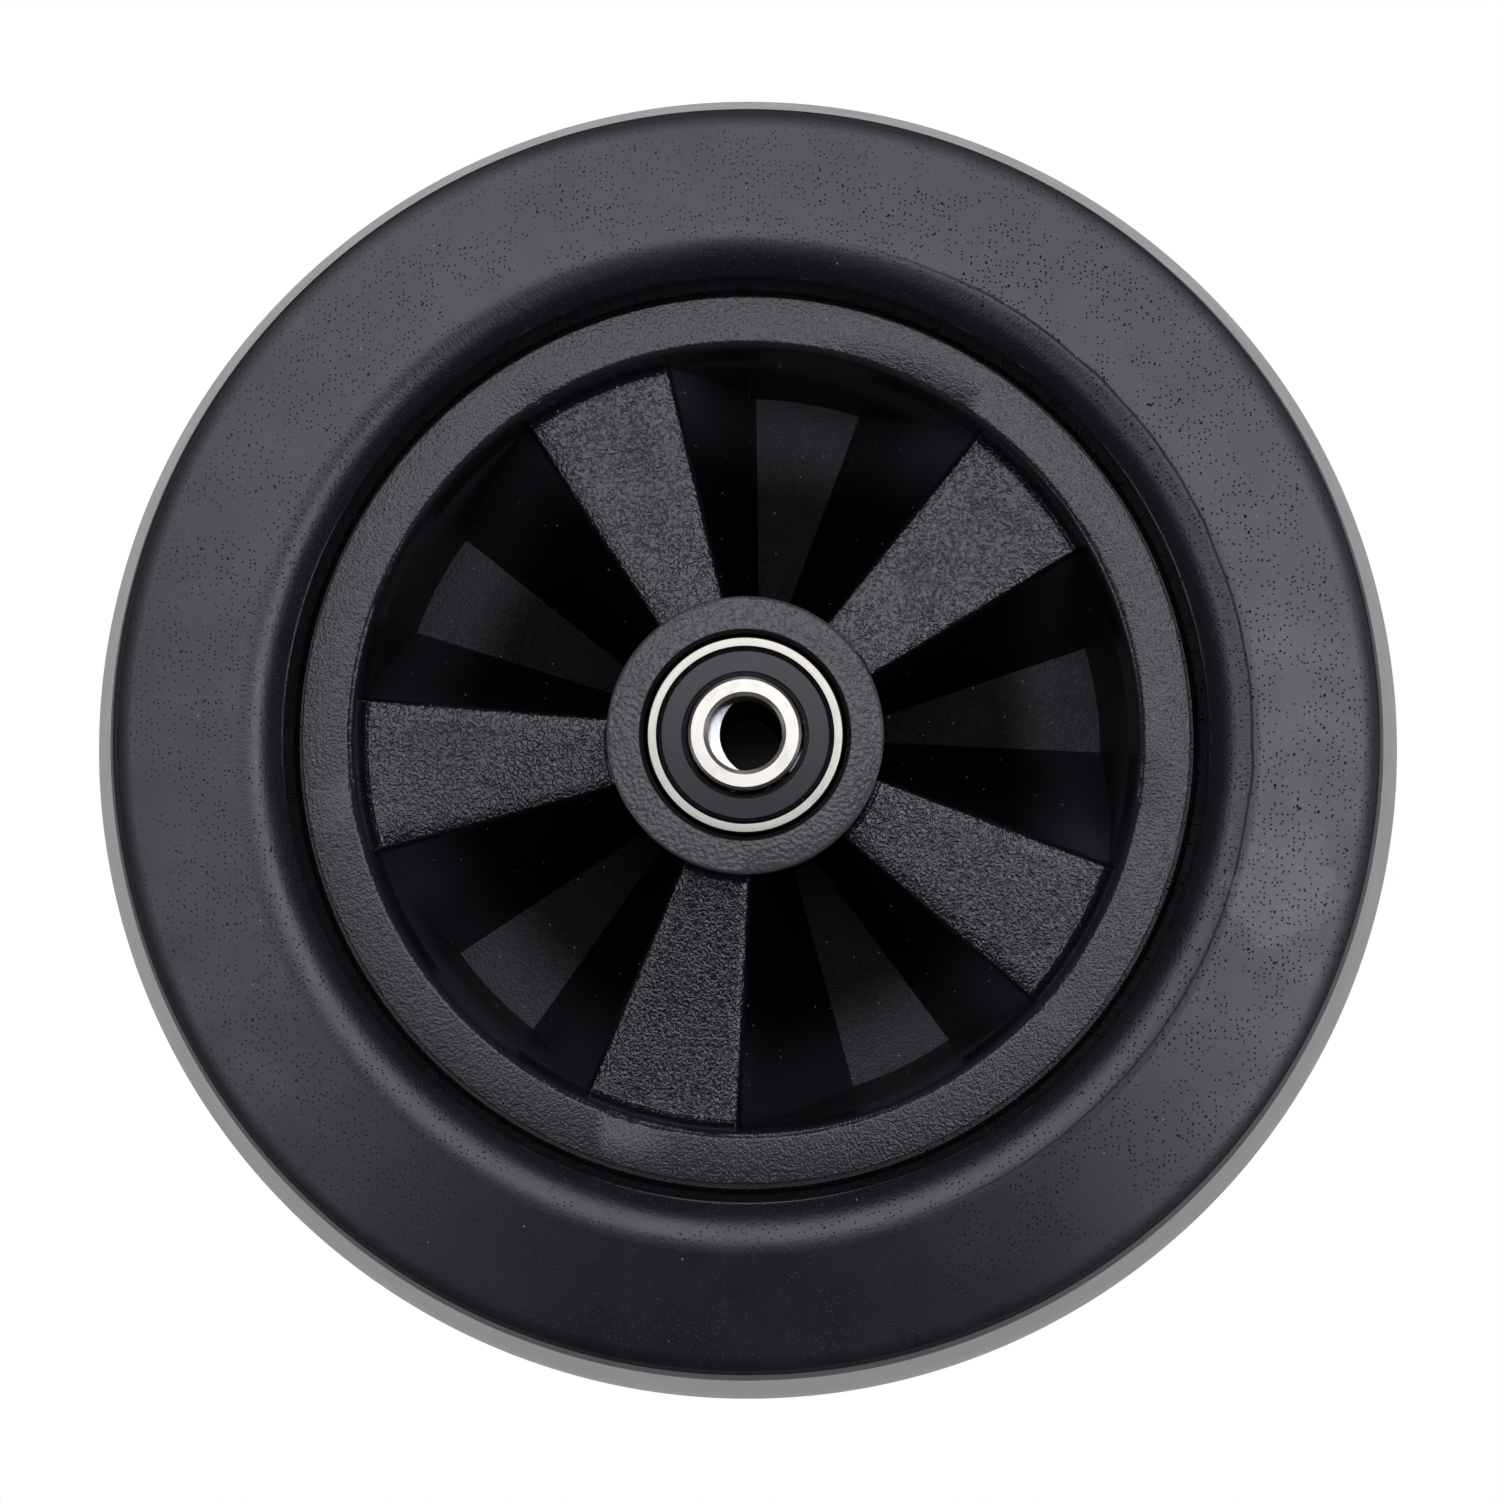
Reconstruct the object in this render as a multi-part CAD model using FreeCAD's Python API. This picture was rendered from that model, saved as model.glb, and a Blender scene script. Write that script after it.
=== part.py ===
import FreeCAD, Part
import math
import os
from FreeCAD import Vector

# Castor wheel with a rubber tyre on a moulded spoked hub and two ball bearings.
# Millimetres. The axle runs along Z and the origin is the middle of the wheel.
# The front is the +Z side. The rear is the front turned over, so both sides look alike.

# Overall sizes
WHEEL_DIAMETER = 151.0
TYRE_WIDTH = 44.0
TYRE_DEPTH = 26.5
THROUGH_LENGTH = 60.0

# Tyre section: a tread that tapers both ways from its middle, a sidewall that falls away gently
# before the shoulder, and a slope down to a groove at the rim
TREAD_TAPER = 18.3
TREAD_ROUND = 10.0
TREAD_EDGE_HEIGHT = 14.9
TREAD_EDGE_ROUND = 0.9
SHOULDER_DRAFT = 11.0
SHOULDER_ROUND = 1.5
SHOULDER_FALL_ANGLE = 12.0
SHOULDER_FALL_WIDTH = 2.55
SHOULDER_FALL_ROUND = 15.0
SIDEWALL_START = 4.5
SIDEWALL_ROUND = 11.5
SLOPE_ANGLE = 27.0
GROOVE_WIDTH = 1.75
GROOVE_DEPTH = 5.5
GROOVE_DRAFT = 3.0
GROOVE_EDGE_ROUND = 0.4

# Hub rim and the rib that keys the tyre to it
RIM_WIDTH = 38.4
RIM_WALL_AT_LIP = 5.7
RIM_EDGE_ROUND = 1.0
RIM_OUTER_ROUND = 0.15
KEY_WIDTH = 12.0
KEY_HEIGHT = 2.5
KEY_DRAFT = 1.0
MOULD_DRAFT = 2.0

# Hub spokes: a folded web, front spokes standing between rear ones
SPOKE_COUNT = 5
SPOKE_LEVEL = 13.0
WEB_WALL = 2.6
FRONT_SPOKE_ANGLE = 41.3
REAR_SPOKE_ANGLE = 80.0
SPOKE_WIDTH_AT_BOSS = 7.2
SPOKE_WIDTH_AT_RIM = 17.1
SIDE_WALL_AT_BOSS = 2.3
SIDE_WALL_AT_RIM = 1.95
SPOKE_FILLET = 0.9
SPOKE_EDGE_ROUND = 0.35
ROUNDING_STEPS = 3

# Hub boss
BOSS_OUTSIDE = 30.0
BOSS_DRAFT = 1.0
BOSS_EDGE_ROUND = 0.4
BOSS_BORE = 17.0
BEARING_RECESS = 0.4
SEAT_LEAD_IN = 0.3

# Ball bearings, whose inner ring is longer on the outer side
AXLE_BORE = 8.0
BEARING_OUTSIDE = 22.0
BEARING_WIDTH = 7.0
INNER_RING_REACH = 4.0
BALL_COUNT = 7
BALL_DIAMETER = 3.969
BALL_PITCH_DIAMETER = 15.0
BALL_PLAY = 0.03
GROOVE_CONFORMITY = 1.04
INNER_SHOULDER_DIAMETER = 12.1
OUTER_SHOULDER_DIAMETER = 18.1
RING_FACE_OPENING = 19.3
OUTER_RING_CORNER = 0.45
INNER_RING_CORNER = 0.3
BORE_CHAMFER = 0.43

# Seals, snapped into the outer rings
SEAL_RECESS = 0.25
SEAL_THICKNESS = 0.6
SEAL_SEAT_DEPTH = 0.25
SEAL_LIP_GAP = 0.3
SEAL_LIP_WIDTH = 0.55
SEAL_LIP_STEP = 0.15

# Ball cage, a moulded crown
CAGE_WALL = 1.6
CAGE_BACK = 0.42
CAGE_PRONG = 1.15
POCKET_CLEARANCE = 0.1

# Spacer tube between the inner rings, loose on the axle and lying off centre
SPACER_BORE = 9.3
SPACER_OUTSIDE = 12.8
SPACER_CHAMFER = 0.3
SPACER_END_PLAY = 0.05
SPACER_SLIP = 1.8
SPACER_SLIP_ANGLE = 11.0

# Places that follow from the sizes
WHEEL_RADIUS = WHEEL_DIAMETER / 2
SIDEWALL_LEVEL = TYRE_WIDTH / 2
RIM_RADIUS = WHEEL_RADIUS - TYRE_DEPTH
LIP_LEVEL = RIM_WIDTH / 2
GROOVE_FLOOR = LIP_LEVEL - GROOVE_DEPTH
KEY_FOOT_WIDTH = KEY_WIDTH + 2 * KEY_DRAFT
BOSS_RADIUS = BOSS_OUTSIDE / 2
BEARING_FACE = THROUGH_LENGTH / 2 - INNER_RING_REACH
BEARING_MIDDLE = BEARING_FACE - BEARING_WIDTH / 2
BEARING_BACK = BEARING_FACE - BEARING_WIDTH
BOSS_LEVEL = BEARING_FACE + BEARING_RECESS
FLOOR_LEVEL = -(SPOKE_LEVEL - WEB_WALL)
BALL_RADIUS = BALL_DIAMETER / 2
BALL_PITCH_RADIUS = BALL_PITCH_DIAMETER / 2
GROOVE_RADIUS = BALL_RADIUS * GROOVE_CONFORMITY
SEAL_OUT = BEARING_WIDTH / 2 - SEAL_RECESS
SEAL_IN = SEAL_OUT - SEAL_THICKNESS
SEAL_SEAT_RADIUS = RING_FACE_OPENING / 2 + SEAL_SEAT_DEPTH
TURN_OVER_ANGLE = (FRONT_SPOKE_ANGLE + REAR_SPOKE_ANGLE) / 2
SPOKE_EDGE_HALF = SPOKE_EDGE_ROUND / 2
NEAR_REACH = BOSS_RADIUS - (BOSS_OUTSIDE - BOSS_BORE) / 4

AXIS = Vector(0, 0, 1)
ORIGIN = Vector(0, 0, 0)
OUT = "parts"


def slope(degrees):
    """Sideways run for each millimetre of height on a wall leaning by this many degrees."""
    return math.tan(math.radians(degrees))


def wall_radius(level):
    """Radius of the rim's inner wall at a height, leaning outwards towards the front lip."""
    return RIM_RADIUS - RIM_WALL_AT_LIP - (LIP_LEVEL - level) * slope(MOULD_DRAFT)


def boss_radius(level):
    """Radius of the boss at a height, growing slightly away from the front face."""
    return BOSS_RADIUS + (BOSS_LEVEL - level) * slope(BOSS_DRAFT)


def at(radius, level):
    """A point of a section: distance from the axle and height along it."""
    return Vector(radius, 0, level)


def rounded_path(corners):
    """Edges along corners (radius, level, rounding), each inner corner rounded by a tangent arc."""
    points = [at(radius, level) for radius, level, _ in corners]
    edges = []
    start = points[0]
    for before, corner, after, (_, _, rounding) in zip(points, points[1:], points[2:], corners[1:]):
        to_before = (before - corner).normalize()
        to_after = (after - corner).normalize()
        half_angle = to_before.getAngle(to_after) / 2
        if rounding == 0:
            edges.append(Part.LineSegment(start, corner).toShape())
            start = corner
            continue
        reach = rounding / math.tan(half_angle)
        first = corner + to_before * reach
        last = corner + to_after * reach
        inward = (to_before + to_after).normalize()
        middle = corner + inward * (rounding / math.sin(half_angle) - rounding)
        edges.append(Part.LineSegment(start, first).toShape())
        edges.append(Part.Arc(first, middle, last).toShape())
        start = last
    edges.append(Part.LineSegment(start, points[-1]).toShape())
    return edges


def turned(edges):
    """Solid of revolution about the axle from the closed section that the edges make."""
    wire = Part.Wire(Part.__sortEdges__(edges))
    return Part.Face(wire).revolve(ORIGIN, AXIS, 360)


def mirrored(corners):
    """The same corners on the other side of the middle plane, in reverse order."""
    return [(radius, -level, rounding) for radius, level, rounding in reversed(corners)]


def closed(corners):
    """Edges of a closed section; its first corner is sharp."""
    return rounded_path(corners + [corners[0]])


def key_corners(middle_out):
    """Half of the keying rib's outline, from its top to where it leaves the rim."""
    top = (RIM_RADIUS + KEY_HEIGHT, KEY_WIDTH / 2, 0.0)
    foot = (RIM_RADIUS, KEY_FOOT_WIDTH / 2, 0.0)
    return [top, foot] if middle_out else [foot, top]


def tyre():
    """Solid rubber tyre: tapered tread, flat sidewalls, a groove beside the rim and a keyed bore."""
    lean = math.radians(TREAD_TAPER)
    arc_half = TREAD_ROUND * math.sin(lean)
    arc_end = WHEEL_RADIUS - TREAD_ROUND * (1 - math.cos(lean))
    edge_radius = arc_end - (TREAD_EDGE_HEIGHT - arc_half) * slope(TREAD_TAPER)
    shoulder_edge = edge_radius - (SIDEWALL_LEVEL - TREAD_EDGE_HEIGHT) * slope(SHOULDER_DRAFT)
    drop = SHOULDER_FALL_WIDTH / (1 / slope(SHOULDER_FALL_ANGLE) - slope(SHOULDER_DRAFT))
    groove_edge = SIDEWALL_LEVEL - (SIDEWALL_START - GROOVE_WIDTH) * slope(SLOPE_ANGLE)
    groove_foot = GROOVE_WIDTH - (groove_edge - GROOVE_FLOOR) * slope(GROOVE_DRAFT)
    upper = [
        (arc_end, arc_half, 0.0),
        (edge_radius, TREAD_EDGE_HEIGHT, TREAD_EDGE_ROUND),
        (shoulder_edge + drop * slope(SHOULDER_DRAFT), SIDEWALL_LEVEL - drop, SHOULDER_ROUND),
        (shoulder_edge - SHOULDER_FALL_WIDTH, SIDEWALL_LEVEL, SHOULDER_FALL_ROUND),
        (RIM_RADIUS + SIDEWALL_START, SIDEWALL_LEVEL, SIDEWALL_ROUND),
        (RIM_RADIUS + GROOVE_WIDTH, groove_edge, GROOVE_EDGE_ROUND),
        (RIM_RADIUS + groove_foot, GROOVE_FLOOR, 0.0),
        (RIM_RADIUS, GROOVE_FLOOR, 0.0),
    ]
    upper += key_corners(middle_out=False)
    edges = rounded_path(upper + mirrored(upper))
    tread = Part.Arc(at(arc_end, -arc_half), at(WHEEL_RADIUS, 0), at(arc_end, arc_half))
    return turned(edges + [tread.toShape()])


def hub_blank():
    """The hub before its pockets: boss, solid disc and rim turned in one."""
    seat_radius = BEARING_OUTSIDE / 2
    upper = [
        (BOSS_BORE / 2, BEARING_BACK, 0.0),
        (seat_radius, BEARING_BACK, 0.0),
        (seat_radius, BOSS_LEVEL - SEAT_LEAD_IN, 0.0),
        (seat_radius + SEAT_LEAD_IN, BOSS_LEVEL, 0.0),
        (BOSS_RADIUS, BOSS_LEVEL, BOSS_EDGE_ROUND),
        (boss_radius(SPOKE_LEVEL), SPOKE_LEVEL, SPOKE_FILLET),
        (wall_radius(SPOKE_LEVEL), SPOKE_LEVEL, SPOKE_FILLET),
        (wall_radius(LIP_LEVEL), LIP_LEVEL, RIM_EDGE_ROUND),
        (RIM_RADIUS, LIP_LEVEL, RIM_OUTER_ROUND),
    ]
    upper += reversed(key_corners(middle_out=True))
    return turned(closed(upper + mirrored(upper)))


def side_line(angle, width_at_boss, width_at_rim, side):
    """Two points, near the axle and out at the rim, of the side line of a strip along a spoke."""
    ends = []
    for distance in (NEAR_REACH, RIM_RADIUS):
        share = (distance - BOSS_RADIUS) / (RIM_RADIUS - RIM_WALL_AT_LIP - BOSS_RADIUS)
        half = (width_at_boss + (width_at_rim - width_at_boss) * share) / 2
        turn = FreeCAD.Rotation(AXIS, angle)
        ends.append(turn.multVec(Vector(distance, side * half, 0)))
    return ends


def pocket_outline(level, left, right):
    """Four-sided wire at a level between two side lines."""
    corners = [left[0], left[1], right[1], right[0]]
    raised = [Vector(corner.x, corner.y, level) for corner in corners]
    return Part.makePolygon(raised + raised[:1])


def mouth_outline(index, level, widening):
    """Outline between two neighbouring front spokes, each side moved back by a widening."""
    step = 360.0 / SPOKE_COUNT
    angle = FRONT_SPOKE_ANGLE + index * step
    at_boss = SPOKE_WIDTH_AT_BOSS + 2 * (SPOKE_EDGE_HALF - widening)
    at_rim = SPOKE_WIDTH_AT_RIM + 2 * (SPOKE_EDGE_HALF - widening)
    left = side_line(angle, at_boss, at_rim, 1)
    right = side_line(angle + step, at_boss, at_rim, -1)
    return pocket_outline(level, left, right)


def front_pocket(index):
    """Space between two neighbouring front spokes, narrowing down to the back of a rear spoke."""
    middle = REAR_SPOKE_ANGLE + index * 360.0 / SPOKE_COUNT
    floor_at_boss = SPOKE_WIDTH_AT_BOSS - 2 * SIDE_WALL_AT_BOSS
    floor_at_rim = SPOKE_WIDTH_AT_RIM - 2 * SIDE_WALL_AT_RIM
    outlines = [pocket_outline(
        FLOOR_LEVEL,
        side_line(middle, floor_at_boss, floor_at_rim, -1),
        side_line(middle, floor_at_boss, floor_at_rim, 1),
    )]
    for step in range(ROUNDING_STEPS + 1):
        turn = math.pi / 2 * step / ROUNDING_STEPS
        level = SPOKE_LEVEL - SPOKE_EDGE_ROUND * (1 - math.sin(turn))
        outlines.append(mouth_outline(index, level, SPOKE_EDGE_ROUND * (1 - math.cos(turn))))
    throat = Part.makeLoft(outlines, True, True)
    above = Part.Face(outlines[-1]).extrude(AXIS * (LIP_LEVEL - SPOKE_LEVEL))
    return throat.fuse(above)


def pocket_ring():
    """Ring between boss and rim wall that every front pocket stays within."""
    return turned(closed([
        (boss_radius(FLOOR_LEVEL), FLOOR_LEVEL, 0.0),
        (wall_radius(FLOOR_LEVEL), FLOOR_LEVEL, 0.0),
        (wall_radius(LIP_LEVEL), LIP_LEVEL, 0.0),
        (boss_radius(LIP_LEVEL), LIP_LEVEL, 0.0),
    ]))


def hub():
    """One-piece moulded hub: pockets from both sides leave a folded web of spokes."""
    ring = pocket_ring()
    front = [front_pocket(index).common(ring) for index in range(SPOKE_COUNT)]
    across = FreeCAD.Rotation(AXIS, TURN_OVER_ANGLE).multVec(Vector(1, 0, 0))
    rear = [pocket.copy() for pocket in front]
    for pocket in rear:
        pocket.rotate(ORIGIN, across, 180)
    return hub_blank().cut(front + rear)


def groove(centre_radius, shoulder_radius):
    """Half length of a ball groove where it reaches the shoulder of its ring."""
    return math.sqrt(GROOVE_RADIUS ** 2 - (shoulder_radius - centre_radius) ** 2)


def outer_ring():
    """Outer bearing ring about its own middle, with a ball groove and a seal seat on each side."""
    half = BEARING_WIDTH / 2
    bottom = BALL_PITCH_RADIUS + BALL_RADIUS + BALL_PLAY
    shoulder = OUTER_SHOULDER_DIAMETER / 2
    reach = groove(bottom - GROOVE_RADIUS, shoulder)
    upper = [
        (shoulder, reach, 0.0),
        (shoulder, SEAL_IN, 0.0),
        (SEAL_SEAT_RADIUS, SEAL_IN, 0.0),
        (SEAL_SEAT_RADIUS, SEAL_OUT, 0.0),
        (RING_FACE_OPENING / 2, SEAL_OUT, 0.0),
        (RING_FACE_OPENING / 2, half, 0.0),
        (BEARING_OUTSIDE / 2, half, OUTER_RING_CORNER),
    ]
    edges = rounded_path(upper + mirrored(upper))
    race = Part.Arc(at(shoulder, -reach), at(bottom, 0), at(shoulder, reach))
    return turned(edges + [race.toShape()])


def inner_ring():
    """Inner bearing ring about the bearing's middle, drawn out past its outer face."""
    half = BEARING_WIDTH / 2
    outer_end = half + INNER_RING_REACH
    bore = AXLE_BORE / 2
    bottom = BALL_PITCH_RADIUS - BALL_RADIUS - BALL_PLAY
    shoulder = INNER_SHOULDER_DIAMETER / 2
    reach = groove(bottom + GROOVE_RADIUS, shoulder)
    corners = [
        (shoulder, reach, 0.0),
        (shoulder, outer_end - INNER_RING_CORNER, 0.0),
        (shoulder - INNER_RING_CORNER, outer_end, 0.0),
        (bore + BORE_CHAMFER, outer_end, 0.0),
        (bore, outer_end - BORE_CHAMFER, 0.0),
        (bore, BORE_CHAMFER - half, 0.0),
        (bore + BORE_CHAMFER, -half, 0.0),
        (shoulder - INNER_RING_CORNER, -half, 0.0),
        (shoulder, INNER_RING_CORNER - half, 0.0),
        (shoulder, -reach, 0.0),
    ]
    race = Part.Arc(at(shoulder, -reach), at(bottom, 0), at(shoulder, reach))
    return turned(rounded_path(corners) + [race.toShape()])


def seal():
    """Rubber seal ring in the outer side of a bearing, with a thinner lip near the inner ring."""
    lip_radius = INNER_SHOULDER_DIAMETER / 2 + SEAL_LIP_GAP
    return turned(closed([
        (lip_radius, SEAL_IN, 0.0),
        (SEAL_SEAT_RADIUS, SEAL_IN, 0.0),
        (SEAL_SEAT_RADIUS, SEAL_OUT, 0.0),
        (lip_radius + SEAL_LIP_WIDTH, SEAL_OUT, 0.0),
        (lip_radius + SEAL_LIP_WIDTH, SEAL_OUT - SEAL_LIP_STEP, 0.0),
        (lip_radius, SEAL_OUT - SEAL_LIP_STEP, 0.0),
    ]))


def ball_place(index):
    """Centre of one ball on the pitch circle."""
    turn = FreeCAD.Rotation(AXIS, index * 360.0 / BALL_COUNT)
    return turn.multVec(Vector(BALL_PITCH_RADIUS, 0, 0))


def ball(index):
    """One steel ball."""
    return Part.makeSphere(BALL_RADIUS, ball_place(index), AXIS, -90, 90, 360)


def cage():
    """Crown cage: a ring whose round pockets hold the balls from one side."""
    pocket_radius = BALL_RADIUS + POCKET_CLEARANCE
    back = -(pocket_radius + CAGE_BACK)
    inner = BALL_PITCH_RADIUS - CAGE_WALL / 2
    outer = BALL_PITCH_RADIUS + CAGE_WALL / 2
    ring = turned(closed([
        (inner, back, 0.0),
        (outer, back, 0.0),
        (outer, CAGE_PRONG, 0.0),
        (inner, CAGE_PRONG, 0.0),
    ]))
    pockets = [Part.makeSphere(pocket_radius, ball_place(index), AXIS, -90, 90, 360)
               for index in range(BALL_COUNT)]
    return ring.cut(pockets)


def spacer_tube():
    """Steel tube that keeps the two inner rings apart, slipped sideways as it lies loose there."""
    bore = SPACER_BORE / 2
    outside = SPACER_OUTSIDE / 2
    end = BEARING_BACK - SPACER_END_PLAY
    upper = [
        (bore, end, 0.0),
        (outside - SPACER_CHAMFER, end, 0.0),
        (outside, end - SPACER_CHAMFER, 0.0),
    ]
    tube = turned(closed(upper + mirrored(upper)))
    tube.translate(FreeCAD.Rotation(AXIS, SPACER_SLIP_ANGLE).multVec(Vector(SPACER_SLIP, 0, 0)))
    return tube


def bearing():
    """All pieces of one bearing about its own middle, by name."""
    inward_seal = seal()
    inward_seal.rotate(ORIGIN, Vector(1, 0, 0), 180)
    pieces = {
        "outer_ring": outer_ring(),
        "inner_ring": inner_ring(),
        "cage": cage(),
        "outer_seal": seal(),
        "inner_seal": inward_seal,
    }
    for index in range(BALL_COUNT):
        pieces["ball_%d" % (index + 1)] = ball(index)
    return pieces


def wheel():
    """Every piece of the wheel in place, by name."""
    pieces = {"tyre": tyre(), "hub": hub(), "spacer_tube": spacer_tube()}
    for name, shape in bearing().items():
        front = shape.copy()
        front.translate(AXIS * BEARING_MIDDLE)
        rear = front.copy()
        rear.rotate(ORIGIN, Vector(1, 0, 0), 180)
        pieces["front_" + name] = front
        pieces["rear_" + name] = rear
    return pieces


os.makedirs(OUT, exist_ok=True)
for name, shape in wheel().items():
    shape.exportStep("%s/%s.step" % (OUT, name))
    print("%-18s solids %d valid %s volume %.1f mm3" % (
        name, len(shape.Solids), shape.isValid(), shape.Volume))
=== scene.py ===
# %% [markdown]
# # A castor wheel
# A wheel of this kind has three sorts of surface: a black rubber tyre, a black moulded plastic hub
# and two small steel ball bearings. Nearly everything is turned about one axle, so nearly every
# new piece here is one profile swept round a circle. The camera looks straight down on the wheel,
# which lies flat on the end of its lower bearing.

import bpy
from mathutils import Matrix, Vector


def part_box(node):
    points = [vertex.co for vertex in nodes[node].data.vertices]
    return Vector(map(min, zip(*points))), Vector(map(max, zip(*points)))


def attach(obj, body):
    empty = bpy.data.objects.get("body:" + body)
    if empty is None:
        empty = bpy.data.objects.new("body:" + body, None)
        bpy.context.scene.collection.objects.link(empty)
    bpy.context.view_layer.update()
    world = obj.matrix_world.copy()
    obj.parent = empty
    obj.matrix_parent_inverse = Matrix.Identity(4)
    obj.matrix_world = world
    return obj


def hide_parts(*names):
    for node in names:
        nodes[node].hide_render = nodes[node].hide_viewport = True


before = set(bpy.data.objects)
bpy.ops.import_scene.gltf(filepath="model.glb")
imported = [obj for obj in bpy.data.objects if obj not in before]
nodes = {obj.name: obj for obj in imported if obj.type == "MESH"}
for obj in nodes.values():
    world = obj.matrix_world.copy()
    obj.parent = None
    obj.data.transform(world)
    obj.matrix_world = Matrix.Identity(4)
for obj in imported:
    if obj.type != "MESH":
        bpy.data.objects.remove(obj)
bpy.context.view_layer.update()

# %% [markdown]
# ## Sizes
# The sizes that the wheel was made to can be read from the boxes of its pieces, so a change there
# carries through to here. What a box can't tell, such as a rounding, is a named value beside the
# piece that has it. Profiles are thought of in millimetres and Blender works in metres.

# %% Sizes read from the frame, in millimetres
import math

import bpy
import numpy as np
from mathutils import Euler, Vector

MM = 0.001


def reach(node):
    """Largest radius and height of a piece, from the highest corner of its box."""
    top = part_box(node)[1]
    return top.x / MM, top.z / MM


WHEEL_RADIUS, SIDEWALL_LEVEL = reach("tyre")
KEYED_RADIUS = reach("hub")[0]
RING_RADIUS = reach("front_outer_ring")[0]
SHOULDER_RADIUS, SLEEVE_LEVEL = reach("front_inner_ring")
SEAL_SEAT_RADIUS, SEAL_LEVEL = reach("front_outer_seal")
BEARING_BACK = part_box("front_outer_ring")[0].z / MM
print("wheel radius %.2f mm, half width %.2f mm, through length %.2f mm" % (
    WHEEL_RADIUS, SIDEWALL_LEVEL, 2 * SLEEVE_LEVEL))

# %% [markdown]
# ## Camera
# The photo is a hand-held view from nearly straight above. The higher circles of the wheel are
# shifted a little towards the top of the picture and to the left, so the lens stands about 15 mm
# below the axle in the picture and 3 mm to its right. Those shifts, and how fast circles shrink
# with depth, give the lens's place and its length. A camera that was aimed by eye would show the
# rings off centre from each other by the wrong amount.

# %% The camera
CAMERA_PLACE = (2.9, -15.1, 346.8)
CAMERA_LEAN = (2.4, 0.424)
LENS = 71.42
SENSOR = 36.0
CLIP = (0.01, 20.0)

camera_data = bpy.data.cameras.new("camera")
camera_data.sensor_fit = "HORIZONTAL"
camera_data.sensor_width = SENSOR
camera_data.lens = LENS
camera_data.clip_start, camera_data.clip_end = CLIP
camera = bpy.data.objects.new("camera", camera_data)
bpy.context.scene.collection.objects.link(camera)
camera.location = Vector(CAMERA_PLACE) * MM
camera.rotation_euler = Euler((math.radians(CAMERA_LEAN[0]), math.radians(CAMERA_LEAN[1]), 0))
bpy.context.scene.camera = camera
bpy.context.scene.view_settings.view_transform = "Standard"
print("camera at", [round(value, 4) for value in camera.location])

# %% [markdown]
# ## Colours and nodes
# Colours are written as they look on a screen, in sRGB hex, and one function turns them to the
# linear values that light adds up in. A second small function adds a node to a material, sets its
# values and joins its inputs, so that a material reads as a list of what happens on its surface.
# The functions after it are the few steps that every material here is made from: a sum, a smooth
# step, and a tint laid over another. The same nodes could be placed by hand in the shader editor.

# %% Colour and node helpers


def linear(colour):
    """sRGB hex to linear light: small values are divided, larger ones follow a power curve."""
    parts = [int(colour[place:place + 2], 16) / 255 for place in (1, 3, 5)]
    light = [part / 12.92 if part <= 0.04045 else ((part + 0.055) / 1.055) ** 2.4 for part in parts]
    return (*light, 1.0)


def add(material, kind, inputs=None, **settings):
    """Add a node: settings are its own properties, inputs are values or outputs of other nodes."""
    tree = material.node_tree
    node = tree.nodes.new("ShaderNode" + kind)
    for name, value in settings.items():
        setattr(node, name, value)
    for name, value in (inputs or {}).items():
        if isinstance(value, bpy.types.NodeSocket):
            tree.links.new(value, node.inputs[name])
        else:
            node.inputs[name].default_value = value
    return node


def reckon(material, operation, *values):
    """One step of arithmetic on numbers."""
    return add(material, "Math", dict(enumerate(values)), operation=operation).outputs[0]


def step(material, value, start, end):
    """Smooth rise from 0 to 1 while a value goes from start to end, or a fall where end is less."""
    inputs = {"Value": value, "From Min": start, "From Max": end}
    return add(material, "MapRange", inputs, interpolation_type="SMOOTHSTEP").outputs["Result"]


def tint(material, amount, under, over):
    """One colour laid over another by an amount."""
    node = add(material, "Mix", {0: amount, 6: under, 7: over}, data_type="RGBA")
    return node.outputs[2]


print("mid grey #808080 is %.3f in linear light" % linear("#808080")[0])

# %% [markdown]
# ## Patterns
# Moulded and ground surfaces are never even. Every pattern here is measured in real millimetres
# from the middle of the wheel, so its size can be held against the real thing. A painted picture
# could show the same, but it would blur close up and would have to be laid on each piece. Noise
# makes clouds and grain, and a Voronoi pattern, each of whose cells holds one speck, makes pits
# and dust.

# %% Places and patterns


def place_on(material):
    """The point on the piece, in millimetres from the middle of the wheel."""
    place = add(material, "TexCoord").outputs["Object"]
    return add(material, "VectorMath", {0: place, "Scale": 1 / MM}, operation="SCALE").outputs[0]


def polar(material, place):
    """Distance from the axle, and the unit direction from it, which has no seam."""
    flat = add(material, "VectorMath", {0: place, 1: (1, 1, 0)}, operation="MULTIPLY").outputs[0]
    radius = add(material, "VectorMath", {0: flat}, operation="LENGTH").outputs["Value"]
    direction = add(material, "VectorMath", {0: flat}, operation="NORMALIZE").outputs[0]
    return radius, direction


def level_of(material, place):
    """Height above the wheel's middle plane, the same on both sides."""
    level = add(material, "SeparateXYZ", {0: place}).outputs[2]
    return reckon(material, "ABSOLUTE", level)


def noise(material, place, size, detail=0.0, distortion=0.0):
    """Soft noise from 0 to 1 whose lumps are about as far apart as the size, in millimetres."""
    inputs = {"Vector": place, "Scale": 1 / size, "Detail": detail, "Distortion": distortion}
    return add(material, "TexNoise", inputs).outputs["Fac"]


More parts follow.
